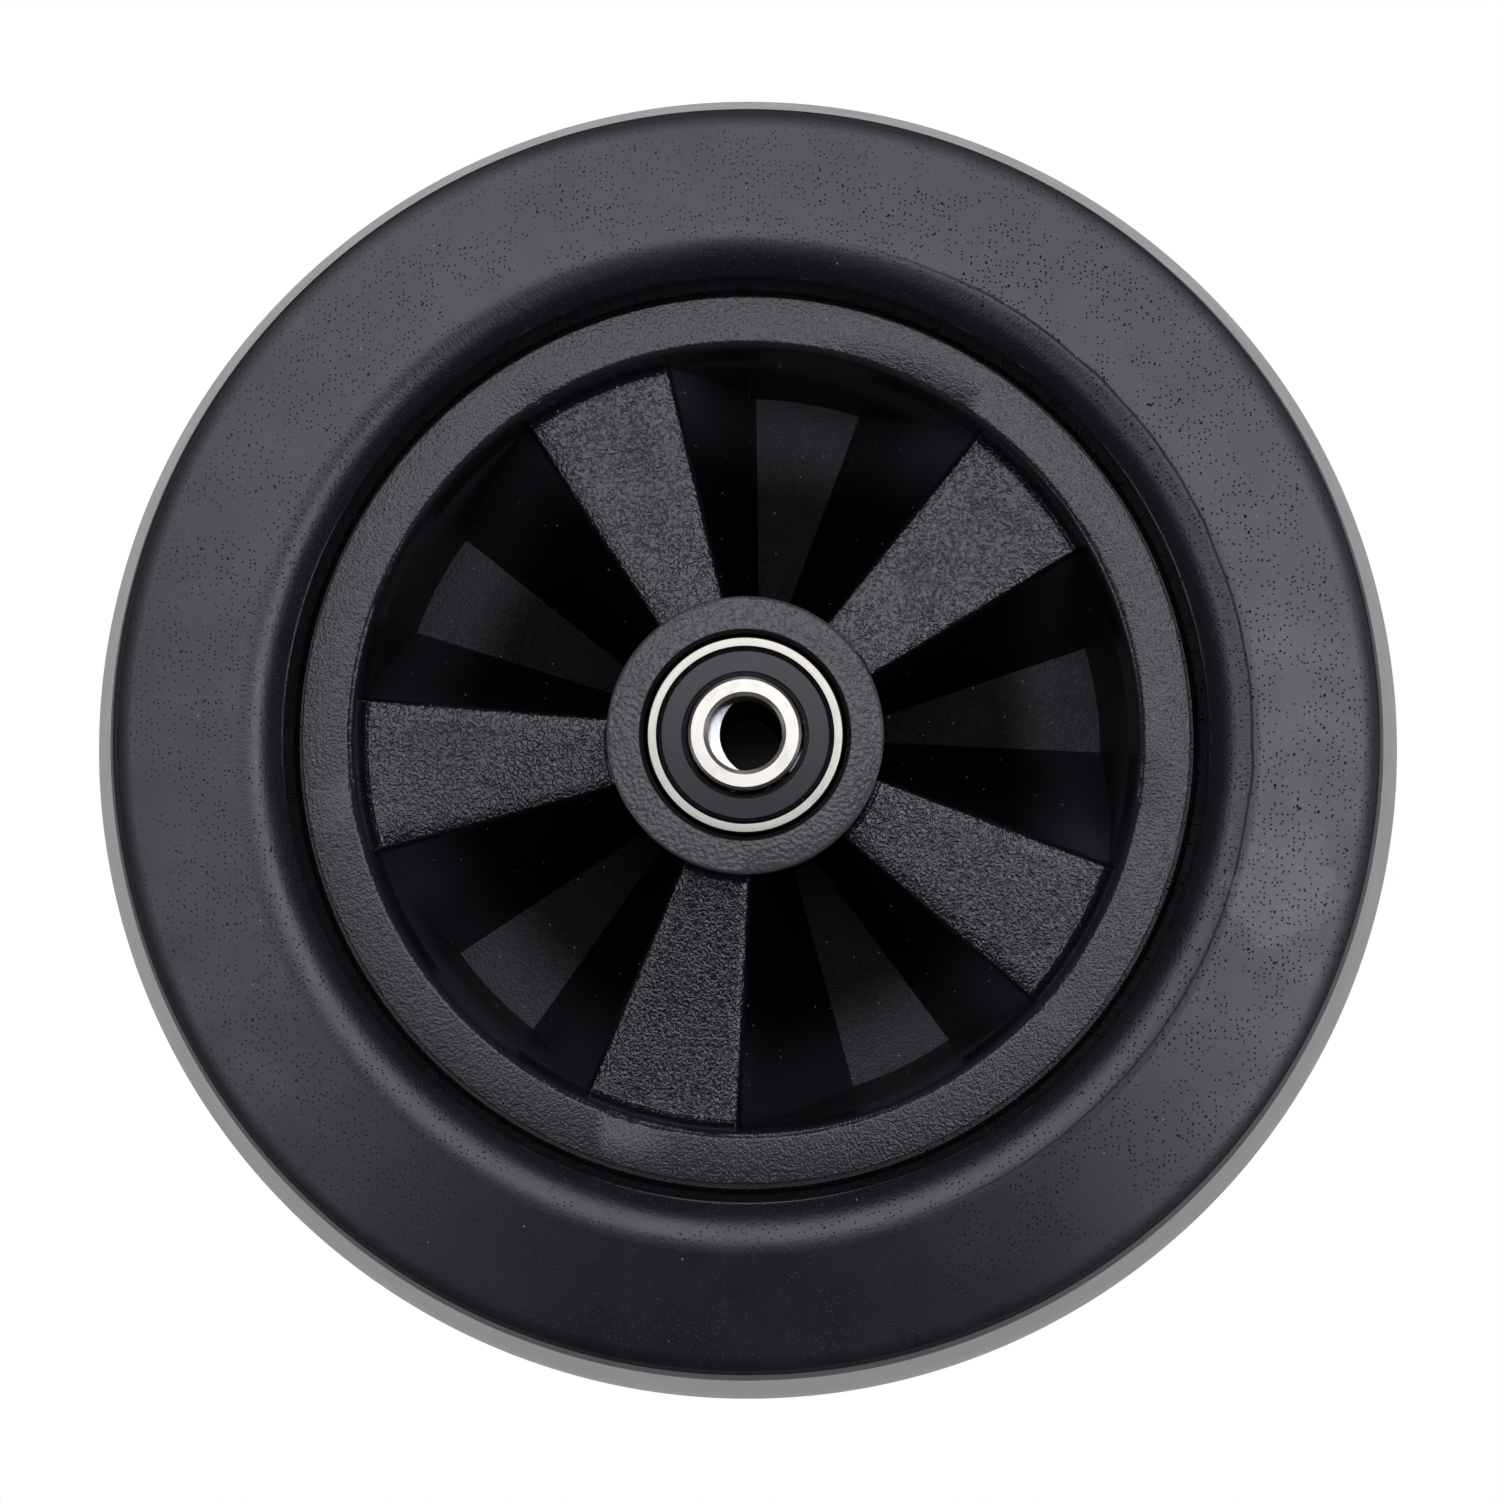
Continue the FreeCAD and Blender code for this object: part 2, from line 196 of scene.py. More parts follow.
def specks(material, place, spacing, size, share):
    """Round specks on the flat of the wheel, one per cell of a Voronoi pattern and only in the
    cells whose random value is under the share. 1 inside a speck and 0 outside."""
    inputs = {"Vector": place, "Scale": 1 / spacing, "Randomness": 1.0}
    cells = add(material, "TexVoronoi", inputs, voronoi_dimensions="2D")
    reach_out = size / 2 / spacing
    inside = step(material, cells.outputs["Distance"], reach_out * 1.3, reach_out * 0.7)
    chance = add(material, "SeparateColor", {0: cells.outputs["Color"]}).outputs[0]
    chosen = reckon(material, "LESS_THAN", chance, share)
    return reckon(material, "MULTIPLY", inside, chosen)


print("patterns are measured in units of %g m" % MM)

# %% [markdown]
# ## Materials
# A material starts as one shader with constant values, and a pattern overrules a value only where
# the real surface varies. Grain of a few hundredths of a millimetre is too fine to model, so its
# height only turns the shading. Each piece gets its material.

# %% Material helpers


def relief(material, shader, height):
    """Turn a height in millimetres into shading."""
    bump = add(material, "Bump", {"Height": height, "Distance": MM})
    material.node_tree.links.new(bump.outputs["Normal"], shader.inputs["Normal"])


def feed(material, shader, **sockets):
    """Join outputs to the shader's sockets, whose names have underlines for spaces here."""
    for name, value in sockets.items():
        material.node_tree.links.new(value, shader.inputs[name.replace("_", " ")])


def new_material(name, colour, roughness, metallic=0.0, ior=1.5):
    """A material with one surface shader; a metal keeps the shader's own index."""
    material = bpy.data.materials.new(name)
    material.use_nodes = True
    shader = material.node_tree.nodes["Principled BSDF"]
    shader.inputs["Base Color"].default_value = linear(colour)
    shader.inputs["Roughness"].default_value = roughness
    shader.inputs["Metallic"].default_value = metallic
    if metallic == 0.0:
        shader.inputs["IOR"].default_value = ior
    return material, shader


def dress(piece, material):
    """Give a piece its material."""
    piece.data.materials.clear()
    piece.data.materials.append(material)
    return piece


print("pieces waiting for a material:", len(nodes))

# %% [markdown]
# ## Profiles
# A tyre or a ring is a closed section carried round the axle. The section is a short list of
# corners, each with the radius that rounds it, because that is how a toolmaker draws a mould.
# An arc that touches both sides replaces each corner. Two extra points just beside each arc keep
# the shading of the flat stretches flat, which a plain bevel would bend.

# %% Profiles
ARC_STEP_DEGREES = 6.0
HOLD = 0.06


def corner_arc(before, corner, after, rounding):
    """Points of the arc that touches both sides of a corner. Its ends lie rounding / tan(half the
    angle) along the sides and it sweeps evenly between the two normals."""
    to_before = (before - corner) / np.linalg.norm(before - corner)
    to_after = (after - corner) / np.linalg.norm(after - corner)
    half = math.acos(np.clip(to_before @ to_after, -1, 1)) / 2
    centre = corner + (to_before + to_after) / (2 * math.cos(half)) * rounding / math.sin(half)
    first = corner + to_before * rounding / math.tan(half) - centre
    last = corner + to_after * rounding / math.tan(half) - centre
    sweep = math.pi - 2 * half
    steps = max(2, math.ceil(math.degrees(sweep) / ARC_STEP_DEGREES))
    share = np.linspace(0, 1, steps + 1)[:, None]
    return centre + (np.sin((1 - share) * sweep) * first + np.sin(share * sweep) * last) / math.sin(sweep)


def section(corners):
    """Closed outline from corners (radius, height, rounding), with holding points beside the arcs."""
    points = np.array([corner[:2] for corner in corners], float)
    outline = []
    for index, (_, _, rounding) in enumerate(corners):
        before, corner, after = points[index - 1], points[index], points[(index + 1) % len(points)]
        arc = corner_arc(before, corner, after, rounding)
        towards = (before - arc[0]) / np.linalg.norm(before - arc[0])
        onwards = (after - arc[-1]) / np.linalg.norm(after - arc[-1])
        outline += [arc[0] + towards * HOLD, *arc, arc[-1] + onwards * HOLD]
    return np.array(outline)


def mirrored(corners):
    """The same corners below the middle plane, in reverse order."""
    return [(radius, -level, rounding) for radius, level, rounding in reversed(corners)]


square = section([(1, 0, 0.1), (2, 0, 0.1), (2, 1, 0.1), (1, 1, 0.1)])
print("a rounded square has %d points" % len(square))

# %% [markdown]
# ## Surfaces of revolution
# A lathe makes a round piece by turning one outline about an axle, and so does this function. A
# Screw modifier could do it as well. Points that are reckoned directly close without a seam, and
# their faces can be made to look outwards whichever way the outline runs.

# %% Surfaces of revolution
AROUND = 360


def turned(name, outline, around=AROUND):
    """Surface of revolution: x = r cos t, y = r sin t, z = height, for the outline's r and height
    and evenly spaced turns t. The outline runs the way that makes the faces look outwards."""
    radius, level = outline.T * MM
    ahead_radius, ahead_level = np.roll(radius, -1), np.roll(level, -1)
    if np.sum(radius * ahead_level - ahead_radius * level) < 0:
        radius, level = radius[::-1], level[::-1]
    turn = np.linspace(0, 2 * math.pi, around, endpoint=False)[:, None]
    points = np.stack([np.cos(turn) * radius, np.sin(turn) * radius, level + 0 * turn], axis=-1)
    index = np.arange(points.shape[0] * points.shape[1]).reshape(points.shape[:2])
    ahead = np.roll(index, -1, axis=0)
    corners = [index, ahead, np.roll(ahead, -1, axis=1), np.roll(index, -1, axis=1)]
    faces = np.stack(corners, axis=-1).reshape(-1, 4)
    mesh = bpy.data.meshes.new(name)
    mesh.from_pydata(points.reshape(-1, 3), [], faces.tolist())
    mesh.polygons.foreach_set("use_smooth", np.ones(len(faces), bool))
    mesh.update()
    piece = bpy.data.objects.new(name, mesh)
    bpy.context.scene.collection.objects.link(piece)
    print("%-18s %6d faces" % (name, len(faces)))
    return piece


print("a turned piece has %d segments of %g degrees" % (AROUND, 360 / AROUND))

# %% [markdown]
# ## The tyre's section
# The tread tapers both ways from its middle, with an edge where it meets the steeper shoulder. The
# sidewalls are flat, fall away a few degrees before the shoulder, which is the dark line round the
# wheel, and roll over into a slope towards the rim. A narrow groove lies between that slope and the
# hub, with a thread of flash at its foot. The bore has a groove that a rib of the hub keys into.
# A lathe profile holds all of this in one list, where a modelled torus would need cuts for each.

# %% The tyre's section
TREAD_TAPER = 18.3
TREAD_ROUND = 10.0
TREAD_EDGE_LEVEL = 14.9
TREAD_EDGE_ROUND = 0.9
SHOULDER_DRAFT = 14.5
SHOULDER_ROUND = 0.25
SHOULDER_FALL = 5.5
SHOULDER_FALL_WIDTH = 1.15
SHOULDER_FALL_ROUND = 15.0
SIDEWALL_START = 4.5
SIDEWALL_ROUND = 11.5
SLOPE_ANGLE = 27.0
GROOVE_WIDTH = 1.75
GROOVE_FLOOR = 13.7
GROOVE_DRAFT = 3.0
GROOVE_EDGE_ROUND = 0.4
FLASH_HEIGHT = 0.3
FLASH_WIDTH = 0.3
KEY_HEIGHT = 2.5
KEY_HALF_WIDTH = 6.0
KEY_DRAFT = 1.0
SHARP = 0.1
CROWN_STEPS = 12


def run(degrees):
    """Sideways run for each millimetre of height on a wall leaning by this many degrees."""
    return math.tan(math.radians(degrees))


def crown():
    """Points of the arc of TREAD_ROUND at the tread's middle, between its two tapers."""
    turn = np.linspace(-1, 1, CROWN_STEPS + 1) * math.radians(TREAD_TAPER)
    radius = WHEEL_RADIUS - TREAD_ROUND + TREAD_ROUND * np.cos(turn)
    return np.stack([radius, TREAD_ROUND * np.sin(turn)], axis=-1)


def tyre_outline():
    """Half of the section from the tread's edge to the middle of the bore, then its mirror image."""
    rim = KEYED_RADIUS - KEY_HEIGHT
    arc_end, arc_level = crown()[-1]
    edge_radius = arc_end - (TREAD_EDGE_LEVEL - arc_level) * run(TREAD_TAPER)
    shoulder_edge = edge_radius - (SIDEWALL_LEVEL - TREAD_EDGE_LEVEL) * run(SHOULDER_DRAFT)
    drop = SHOULDER_FALL_WIDTH / (1 / run(SHOULDER_FALL) - run(SHOULDER_DRAFT))
    groove_edge = SIDEWALL_LEVEL - (SIDEWALL_START - GROOVE_WIDTH) * run(SLOPE_ANGLE)
    groove_foot = rim + GROOVE_WIDTH - (groove_edge - GROOVE_FLOOR) * run(GROOVE_DRAFT)
    upper = [
        (edge_radius, TREAD_EDGE_LEVEL, TREAD_EDGE_ROUND),
        (shoulder_edge + drop * run(SHOULDER_DRAFT), SIDEWALL_LEVEL - drop, SHOULDER_ROUND),
        (shoulder_edge - SHOULDER_FALL_WIDTH, SIDEWALL_LEVEL, SHOULDER_FALL_ROUND),
        (rim + SIDEWALL_START, SIDEWALL_LEVEL, SIDEWALL_ROUND),
        (rim + GROOVE_WIDTH, groove_edge, GROOVE_EDGE_ROUND),
        (groove_foot, GROOVE_FLOOR + FLASH_HEIGHT, SHARP),
        (groove_foot - FLASH_WIDTH, GROOVE_FLOOR + FLASH_HEIGHT / 2, SHARP),
        (groove_foot - FLASH_WIDTH, GROOVE_FLOOR, SHARP / 2),
        (rim, GROOVE_FLOOR, SHARP),
        (rim, KEY_HALF_WIDTH + KEY_DRAFT, SHARP),
        (rim + KEY_HEIGHT, KEY_HALF_WIDTH, SHARP),
    ]
    # the outline's arcs start at the upper tread edge, and the crown closes it from the lower one
    return np.concatenate([section(upper + mirrored(upper)), crown()[1:-1]])


print("points in the tyre's section:", len(tyre_outline()))

# %% [markdown]
# ## Rubber
# The tyre is solid black rubber, pressed in a polished mould. It is nearly black in itself: what
# shows is the room, mirrored in a satin skin, so most of the look is in how rough that skin is and
# in what breaks it. Small pits, where air or talc lay on the mould, stay dark because they send the
# light elsewhere. The slope by the rim has fine lines from the rubber's flow, a crease runs round
# it at the right, and the steep wall of the shoulder looks duller than the tread. A dull film with
# a ragged edge lies at the lower right, and some dust has settled.

# %% Patterns of the tyre
PIT_SPACING = 0.62
PIT_SIZE = 0.17
PIT_SHARE = 0.55
DEEP_PIT_SPACING = 2.6
DEEP_PIT_SIZE = 0.26
DEEP_PIT_SHARE = 0.35
PATCH_SIZE = 4.0
FLOW_PITCH = 0.22
FLOW_LENGTH = 0.9
FLOW_RADIUS = 54.0
CREASE_RADIUS = 55.35
CREASE_WANDER = 0.3
FILM_MIDDLE = (58.5, -16.0, 0.0)
FILM_TURN = math.radians(-16)
FILM_HALF = (7.6, 10.0, 30.0)
FILM_TEAR = 3.0


def flow_lines(material, radius, direction):
    """Fine lines that run outwards: noise that changes fast round the axle and slowly along r."""
    around = add(material, "VectorMath", {0: direction, "Scale": FLOW_RADIUS / FLOW_PITCH},
                 operation="SCALE").outputs[0]
    outwards = reckon(material, "DIVIDE", radius, FLOW_LENGTH)
    along = add(material, "CombineXYZ", {2: outwards}).outputs[0]
    place = add(material, "VectorMath", {0: around, 1: along}, operation="ADD").outputs[0]
    return noise(material, place, 1.0, detail=1.0)


def film(material, place):
    """Dull film at the lower right: an oval whose edge a noise tears. It is thickest at the lower
    edge and thins out upwards to nothing."""
    oval = add(material, "Mapping", {"Vector": place, "Location": FILM_MIDDLE,
                                     "Rotation": (0, 0, FILM_TURN), "Scale": FILM_HALF},
               vector_type="TEXTURE").outputs[0]
    distance = add(material, "VectorMath", {0: oval}, operation="LENGTH").outputs["Value"]
    torn = reckon(material, "MULTIPLY_ADD", noise(material, place, FILM_TEAR, detail=5.0), 0.7, distance)
    inside = step(material, torn, 1.35, 1.31)
    height = add(material, "SeparateXYZ", {0: place}).outputs[1]
    return reckon(material, "MULTIPLY", inside, step(material, height, -6.0, -17.0))


def pitting(material, place, right_side, dry_film):
    """Small and deep pits, crowded in patches, denser at the right side and all over the film."""
    pits = reckon(material, "MAXIMUM", specks(material, place, PIT_SPACING, PIT_SIZE, PIT_SHARE),
                  specks(material, place, DEEP_PIT_SPACING, DEEP_PIT_SIZE, DEEP_PIT_SHARE))
    crowded = step(material, noise(material, place, PATCH_SIZE, detail=1.0), 0.32, 0.52)
    denser = reckon(material, "MULTIPLY_ADD", right_side, 0.5, 0.5)
    crowded = reckon(material, "MULTIPLY", crowded, denser)
    return reckon(material, "MULTIPLY", pits, reckon(material, "MAXIMUM", crowded, dry_film))


def creasing(material, place, radius, right_side):
    """A thin crease at the right, whose distance from the axle wanders a little."""
    wander = reckon(material, "MULTIPLY_ADD", noise(material, place, PATCH_SIZE), CREASE_WANDER,
                    CREASE_RADIUS - CREASE_WANDER / 2)
    off_crease = reckon(material, "ABSOLUTE", reckon(material, "SUBTRACT", radius, wander))
    return reckon(material, "MULTIPLY", step(material, off_crease, 0.22, 0.06), right_side)


print("small pits: %.2f mm across, in %d%% of the cells" % (PIT_SIZE, 100 * PIT_SHARE))

# %% [markdown]
# ## The rubber's finish
# The patterns come together in one material. Pits, crease and the wall make the skin rougher, so
# they mirror less of the room. Pits are also sunk and lose most of their shine, which is why they
# read as dark dots both on the light side and on the dark one.

# %% The rubber's finish
RUBBER = "#1a1b20"
DRIED_FILM = "#57544f"
DUST = "#a0a0a0"
RUBBER_SATIN = 0.19
RUBBER_SPREAD = 0.10
PIT_ROUGHER = 0.6
CREASE_ROUGHER = 0.35
WALL_ROUGHER = 0.35
PLAIN_SHINE = 0.5
PIT_SHINE_LOST = 0.4
FILM_STRENGTH = 0.7
CLOUD_SIZE = 7.0
FINE_GRAIN = 0.3
PLAIN_GRAIN_DEPTH = 0.004
SLOPE_GRAIN_DEPTH = 0.009
FLOW_DEPTH = 0.012
PIT_DEPTH = 0.02
SETTLED_DUST = {"spacing": 9.0, "size": 0.18, "share": 0.35}
WALL_START = (68.7, 69.1)
SLOPE_START = (57.2, 54.6)
TREAD_CLEAN = (73.0, 61.0)


def moulded_rubber():
    """Black tyre rubber, satin from the mould, with pits, flow lines and a little dust."""
    material, shader = new_material("moulded_rubber", RUBBER, 0.24)
    place = place_on(material)
    radius, direction = polar(material, place)
    dry_film = film(material, place)
    right_side = step(material, add(material, "SeparateXYZ", {0: direction}).outputs[0], 0.1, 0.6)
    inner = step(material, radius, *TREAD_CLEAN)
    pits = reckon(material, "MULTIPLY", pitting(material, place, right_side, dry_film), inner)
    crease = creasing(material, place, radius, right_side)
    on_slope = step(material, radius, *SLOPE_START)
    on_wall = reckon(material, "MULTIPLY", step(material, radius, *WALL_START),
                     step(material, level_of(material, place), TREAD_EDGE_LEVEL, TREAD_EDGE_LEVEL + 1))
    clouds = noise(material, place, CLOUD_SIZE, detail=3.0)
    satin = reckon(material, "MULTIPLY_ADD", clouds, RUBBER_SPREAD, RUBBER_SATIN)
    satin = reckon(material, "MULTIPLY_ADD", pits, PIT_ROUGHER, satin)
    satin = reckon(material, "MULTIPLY_ADD", crease, CREASE_ROUGHER, satin)
    satin = reckon(material, "MULTIPLY_ADD", on_wall, WALL_ROUGHER, satin)
    fine = reckon(material, "MULTIPLY_ADD", on_slope, SLOPE_GRAIN_DEPTH, PLAIN_GRAIN_DEPTH)
    height = reckon(material, "MULTIPLY", noise(material, place, FINE_GRAIN, detail=2.0), fine)
    flow = reckon(material, "MULTIPLY", flow_lines(material, radius, direction), on_slope)
    height = reckon(material, "MULTIPLY_ADD", flow, FLOW_DEPTH, height)
    height = reckon(material, "MULTIPLY_ADD", pits, -PIT_DEPTH, height)
    relief(material, shader, height)
    whole = reckon(material, "MULTIPLY_ADD", pits, -FILM_STRENGTH, FILM_STRENGTH)
    colour = tint(material, reckon(material, "MULTIPLY", dry_film, whole), linear(RUBBER),
                  linear(DRIED_FILM))
    dust = reckon(material, "MULTIPLY", specks(material, place, **SETTLED_DUST), inner)
    colour = tint(material, dust, colour, linear(DUST))
    feed(material, shader, Base_Color=colour, Roughness=satin,
         Specular_IOR_Level=reckon(material, "MULTIPLY_ADD", pits, -PIT_SHINE_LOST, PLAIN_SHINE))
    return material


rubber = moulded_rubber()
print("nodes in the rubber:", len(rubber.node_tree.nodes))

# %% [markdown]
# ## The tyre
# The new tyre takes the place of the plain solid and rides on the same body, so it turns with the
# wheel. It is turned whole, because its section is the same all the way round.

# %% The tyre
tyre = dress(turned("rubber_tyre", tyre_outline()), rubber)
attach(tyre, "wheel")
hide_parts("tyre")

# %% [markdown]
# ## Hub plastic
# The hub is moulded in black glass-filled nylon, and its mould was etched with a leather grain. On
# the spokes the grain is coarse, winding ridges about half a millimetre apart; on the rim's lip it
# is finer, and the boss is pebbled. The pebbles are drawn coarser than the real ones, because at
# their own size they hardly showed in the picture. A ridge is made from noise by folding it at its
# middle value, so that the ridges run along the lines where the noise crosses it. The grain makes
# the spokes sparkle at the lower side, where the flat of the plastic only mirrors a dark room.

# %% Grain of the plastic
GRAIN_PITCH = 0.54
LIP_GRAIN = 0.28
BOSS_GRAIN = 0.5
DEEP_GRAIN = 0.22
LIP_DEPTH = 0.055
BOSS_DEPTH = 0.16
DEEP_DEPTH = 0.01
RIDGE_DEPTH = 0.016
RIDGE_SPREAD = 0.03
UNEVEN_SIZE = 6.0
LIP_START = 42.8
LIP_GRAIN_LEVEL = 17.0
BOSS_END = 15.8
SPOKE_LEVEL = 13.0


def winding_ridges(material, place, size):
    """Noise folded at its middle value: 1 along winding lines and less beside them."""
    soft = noise(material, place, size, detail=0.6, distortion=0.4)
    folded = reckon(material, "ABSOLUTE", reckon(material, "MULTIPLY_ADD", soft, 2.0, -1.0))
    return step(material, folded, 0.42, 0.0)


def plastic_zones(material, radius, level):
    """Where the pockets, the rim's lip, the boss and the spokes are, each from 0 to 1."""
    deep = step(material, level, SPOKE_LEVEL - 0.4, SPOKE_LEVEL - 1.6)
    shown = reckon(material, "SUBTRACT", 1.0, deep)
    on_lip = reckon(material, "MULTIPLY", step(material, radius, LIP_START - 0.4, LIP_START),
                    step(material, level, LIP_GRAIN_LEVEL - 0.4, LIP_GRAIN_LEVEL))
    on_boss = reckon(material, "MULTIPLY", step(material, radius, BOSS_END + 0.2, BOSS_END),
                     step(material, level, SPOKE_LEVEL + 4, SPOKE_LEVEL + 6))
    on_spoke = reckon(material, "SUBTRACT", shown, reckon(material, "MAXIMUM", on_lip, on_boss))
    return deep, on_lip, on_boss, on_spoke


def leather_grain(material, place, deep, on_lip, on_boss, on_spoke):
    """Height of the grain: one sort for each zone, and the spokes' ridges also in the pockets."""
    uneven = noise(material, place, UNEVEN_SIZE, detail=1.0)
    depth = reckon(material, "MULTIPLY_ADD", uneven, RIDGE_SPREAD, RIDGE_DEPTH)
    ridges = reckon(material, "MULTIPLY", winding_ridges(material, place, GRAIN_PITCH), depth)
    lip_grain = reckon(material, "MULTIPLY", noise(material, place, LIP_GRAIN, detail=1.0), LIP_DEPTH)
    boss_grain = reckon(material, "MULTIPLY", noise(material, place, BOSS_GRAIN, detail=1.0), BOSS_DEPTH)
    height = reckon(material, "MULTIPLY", noise(material, place, DEEP_GRAIN, detail=1.0), DEEP_DEPTH)
    height = reckon(material, "MULTIPLY_ADD", ridges, reckon(material, "MAXIMUM", on_spoke, deep), height)
    height = reckon(material, "MULTIPLY_ADD", lip_grain, on_lip, height)
    return reckon(material, "MULTIPLY_ADD", boss_grain, on_boss, height)


print("spoke ridges are up to %.3f mm high" % (RIDGE_DEPTH + RIDGE_SPREAD))

# %% [markdown]
# ## The plastic's finish
# One shader is the satin of the faces that show. A second, duller one is for the pockets, which
# hardly shine near the boss and a little more towards the rim, and whose colour is painted darker
# towards the boss as painted shade. The boss and the lip are given lighter colours than the
# spokes, a painted sheen for the light that their finely broken black surfaces scatter. The narrow
# ring beside the bearing is painted black and dull as painted shade, where the seat's lead-in lies
# in shadow. One shader for all of it would need to be too bright in the pockets or too dull on the
# spokes.

# %% The plastic's finish
PLASTIC = "#1c1c22"
BOSS_PAINTED_SHEEN = "#5c5c5e"
LIP_PAINTED_SHEEN = "#2a2a2d"
SEAT_SHADE_BLACK = "#050505"
POCKET_SHADE_BLACK = "#08080c"
POCKET_LIT_GREY = "#34343a"
GREY_DUST = "#9a9a9a"
HUB_DUST = {"spacing": 8.0, "size": 0.22, "share": 0.35}
POCKET_DUST = {"spacing": 3.0, "size": 0.16, "share": 0.3}
PLASTIC_SATIN = 0.18
BOSS_ROUGHER = 0.10
LIP_ROUGHER = 0.03
SEAT_SHADE_ROUGHNESS = 0.9
SEAT_EDGE = 11.5
POCKET_SHINE = (30, 42)
POCKET_SHINE_LEAST = 0.12
POCKET_SHINE_GAIN = 0.6


def pocket_plastic(material, radius, height, dust):
    """The dull shader of the pockets, darker and with less shine towards the boss: painted shade from the
    boss.
    """
    pocket = add(material, "BsdfPrincipled", {"Roughness": 0.5, "IOR": 1.4})
    relief(material, pocket, height)
    near_rim = step(material, radius, *POCKET_SHINE)
    # painted shade: the pockets' colour runs from near black at the boss to grey towards the rim
    pocket_shade_colour = tint(material, near_rim, linear(POCKET_SHADE_BLACK), linear(POCKET_LIT_GREY))
    shine = reckon(material, "MULTIPLY_ADD", near_rim, POCKET_SHINE_GAIN, POCKET_SHINE_LEAST)
    feed(material, pocket, Base_Color=tint(material, dust, pocket_shade_colour, linear(GREY_DUST)),
         Specular_IOR_Level=shine)
    return pocket


def grained_plastic():
    """Black glass-filled nylon: a leather grain of three sorts on the faces that show, a fine dull
    finish down in the pockets, and a little dust that gathers there."""
    material, shader = new_material("grained_plastic", "#1e1e21", 0.24)
    place = place_on(material)
    radius = polar(material, place)[0]
    deep, on_lip, on_boss, on_spoke = plastic_zones(material, radius, level_of(material, place))
    height = leather_grain(material, place, deep, on_lip, on_boss, on_spoke)
    relief(material, shader, height)
    dust = reckon(material, "ADD", specks(material, place, **HUB_DUST),
                  reckon(material, "MULTIPLY", specks(material, place, **POCKET_DUST), deep))
    # painted shade: the plastic at the bearing seat's edge is black and dull where the lead-in lies in
    # shadow
    painted_seat_shade = reckon(material, "MULTIPLY", step(material, radius, SEAT_EDGE + 0.05, SEAT_EDGE - 0.1), on_boss)
    # painted sheen: the boss and the lip get lighter colours for the light their fine grain scatters
    colour = tint(material, on_boss, linear(PLASTIC), linear(BOSS_PAINTED_SHEEN))
    colour = tint(material, on_lip, colour, linear(LIP_PAINTED_SHEEN))
    colour = tint(material, painted_seat_shade, colour, linear(SEAT_SHADE_BLACK))
    colour = tint(material, dust, colour, linear(GREY_DUST))
    satin = reckon(material, "MULTIPLY_ADD", on_boss, BOSS_ROUGHER, PLASTIC_SATIN)
    satin = reckon(material, "MULTIPLY_ADD", on_lip, LIP_ROUGHER, satin)
    satin = reckon(material, "MAXIMUM", satin, reckon(material, "MULTIPLY", painted_seat_shade, SEAT_SHADE_ROUGHNESS))
    feed(material, shader, Base_Color=colour, Roughness=satin)
    pocket = pocket_plastic(material, radius, height, dust)
    mix = add(material, "MixShader", {0: deep, 1: shader.outputs[0], 2: pocket.outputs[0]})
    output = material.node_tree.nodes["Material Output"]
    material.node_tree.links.new(mix.outputs[0], output.inputs["Surface"])
    return material


plastic = grained_plastic()
print("nodes in the plastic:", len(plastic.node_tree.nodes))

# %% [markdown]
# ## The hub
# The solid from the frame already has the folded web of spokes, so it stays as it is. Its own faces
# are joined at their seams, shaded smooth, and parted again only at edges sharper than a set angle,
# which keeps the flats flat and the small roundings round. Smooth shading alone would bend the
# light over the flats.

# %% The hub's shading
CRISP_DEGREES = 28
SEAM_GAP = 0.00001


def crisp(piece):
    """Join a frame piece at its seams and part it again at every edge sharper than the angle."""
    piece.data.polygons.foreach_set("use_smooth", np.ones(len(piece.data.polygons), bool))
    weld = piece.modifiers.new("weld", "WELD")
    weld.merge_threshold = SEAM_GAP
    parting = piece.modifiers.new("crisp_edges", "EDGE_SPLIT")
    parting.split_angle = math.radians(CRISP_DEGREES)
    return piece


hub = crisp(dress(nodes["hub"], plastic))
print("hub faces:", len(hub.data.polygons))

# %% [markdown]
# ## Steels
# Bearing steel is bright because it is metal, and how rough it is decides how it shows the room.
# The faces of the rings are ground: a fine, even grain with a slight spread. The rounded corners
# of the outer ring and the rings' parts deep in the bearing are painted black as painted shade,
# which draws the dark ring beside the boss. The spacer tube is only sawn and faced, so its end has
# streaks, and its inside is painted black as painted shade.

# %% Steels
GROUND_GRAIN = 0.22
STAIN_SIZE = 1.6
STAIN = "#a39d90"
CORNER_SHADE_BLACK = "#0e0c0a"
FACE_EDGE = RING_RADIUS - 0.53
SPACER_STREAK = 0.16
STREAK_TURN = math.radians(70)


